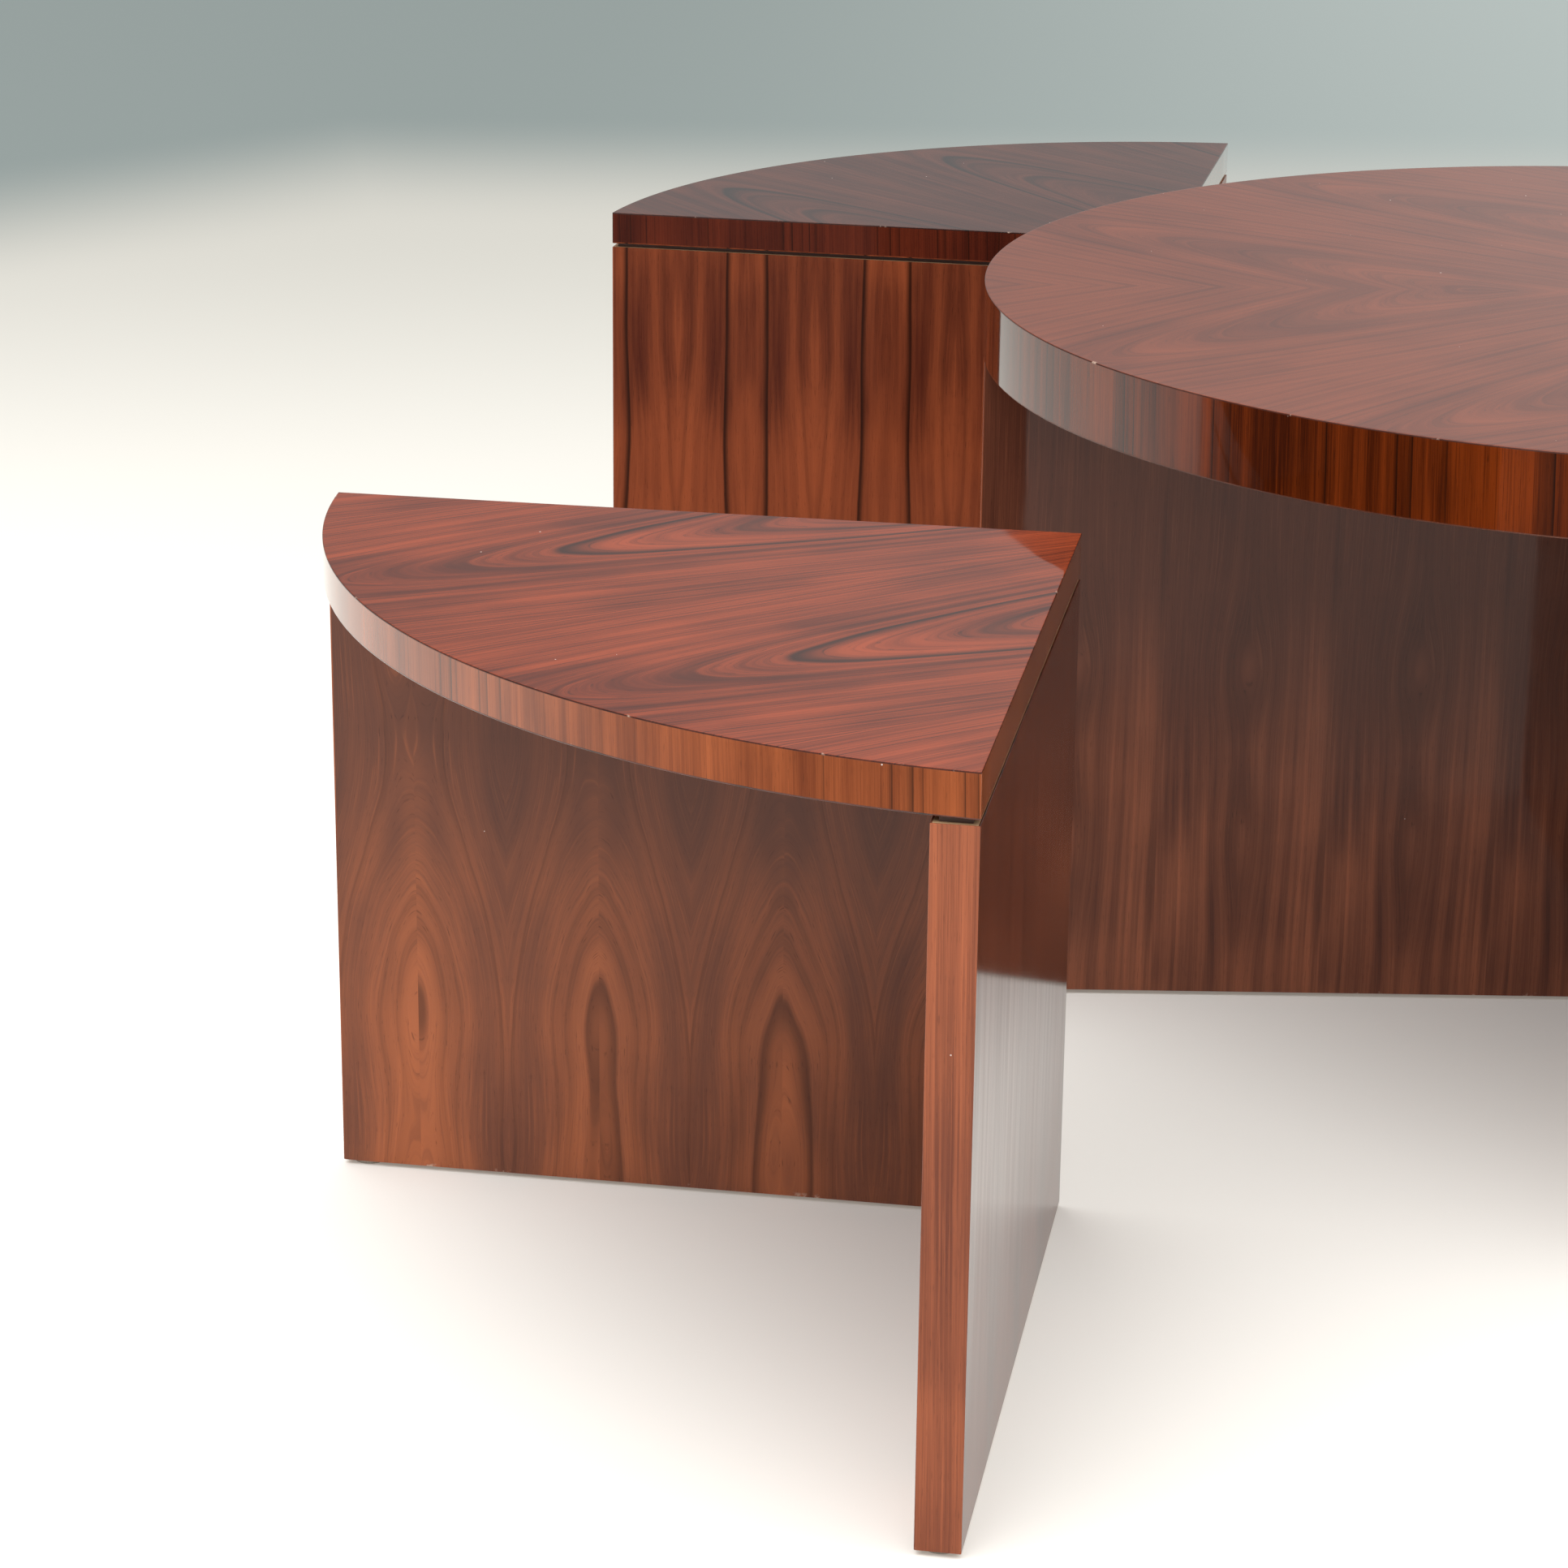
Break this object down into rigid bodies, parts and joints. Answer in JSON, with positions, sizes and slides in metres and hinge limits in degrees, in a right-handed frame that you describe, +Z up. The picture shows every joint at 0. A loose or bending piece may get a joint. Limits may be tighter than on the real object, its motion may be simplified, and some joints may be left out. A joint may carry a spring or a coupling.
{
  "type": "nesting coffee table set",
  "caption": "Round gloss-veneered coffee table on a crossed panel base, with quarter-round side tables that nest in the bays under its top.",
  "frame": {"origin": "on the floor under the middle of the round table", "axes": "+Z up, +X along the round table's long base panel, +Y along its cross panel; the pulled-out tables lie towards -X"},
  "size_m": [1.3371, 1.7717, 0.5],
  "materials": {
    "board": "raw board",
    "top_veneer": "high gloss lacquer",
    "backing_veneer": "satin lacquer",
    "cross_banding": "high gloss lacquer",
    "panel_veneer": "high gloss lacquer",
    "figured_veneer": "gloss lacquer",
    "base_veneer": "gloss lacquer",
    "end_veneer": "gloss lacquer",
    "dark_spacer": "matt",
    "dowel": "raw",
    "glide": "translucent plastic"
  },
  "bodies": {
    "round_table": {"round_top_core": "board", "round_top_face": "top_veneer", "round_top_backing": "backing_veneer", "round_rim_band": "cross_banding", "base_long_core": "board", "base_cross_core": "board", "base_long_sheets": "base_veneer", "base_cross_sheets": "base_veneer", "base_end_bands": "end_veneer", "base_dowels": "dowel", "base_glides": "glide"},
    "front_left_table": {"front_left_top_core": "board", "front_left_top_face": "top_veneer", "front_left_top_backing": "backing_veneer", "front_left_edge_bands": "cross_banding", "front_left_back_core": "board", "front_left_side_core": "board", "front_left_outer_sheets": "panel_veneer", "front_left_inner_sheets": "figured_veneer", "front_left_end_bands": "end_veneer", "front_left_spacers": "dark_spacer", "front_left_dowels": "dowel", "front_left_glides": "glide"},
    "rear_left_table": {"rear_left_top_core": "board", "rear_left_top_face": "top_veneer", "rear_left_top_backing": "backing_veneer", "rear_left_edge_bands": "cross_banding", "rear_left_back_core": "board", "rear_left_side_core": "board", "rear_left_outer_sheets": "panel_veneer", "rear_left_inner_sheets": "figured_veneer", "rear_left_end_bands": "end_veneer", "rear_left_spacers": "dark_spacer", "rear_left_dowels": "dowel", "rear_left_glides": "glide"},
    "rear_right_table": {"rear_right_top_core": "board", "rear_right_top_face": "top_veneer", "rear_right_top_backing": "backing_veneer", "rear_right_edge_bands": "cross_banding", "rear_right_back_core": "board", "rear_right_side_core": "board", "rear_right_outer_sheets": "panel_veneer", "rear_right_inner_sheets": "figured_veneer", "rear_right_end_bands": "end_veneer", "rear_right_spacers": "dark_spacer", "rear_right_dowels": "dowel", "rear_right_glides": "glide"},
    "front_right_table": {"front_right_top_core": "board", "front_right_top_face": "top_veneer", "front_right_top_backing": "backing_veneer", "front_right_edge_bands": "cross_banding", "front_right_back_core": "board", "front_right_side_core": "board", "front_right_outer_sheets": "panel_veneer", "front_right_inner_sheets": "figured_veneer", "front_right_end_bands": "end_veneer", "front_right_spacers": "dark_spacer", "front_right_dowels": "dowel", "front_right_glides": "glide"}
  },
  "joints": [
    {"name": "front_left_tuck", "type": "hinge", "parent": "round_table", "child": "front_left_table", "pos_m": [-2.4184, 2.32384, 0], "axis": [0, 0, -1], "range_deg": [-9.2, 2]},
    {"name": "rear_left_tuck", "type": "hinge", "parent": "round_table", "child": "rear_left_table", "pos_m": [2.45728, 1.79744, 0], "axis": [0, 0, -1], "range_deg": [-10.8, 2]},
    {"name": "rear_right_slide", "type": "slide", "parent": "round_table", "child": "rear_right_table", "axis": [0.7071, 0.7071, 0], "range_m": [0, 0.55]},
    {"name": "front_right_slide", "type": "slide", "parent": "round_table", "child": "front_right_table", "axis": [0.7071, -0.7071, 0], "range_m": [0, 0.55]}
  ]
}
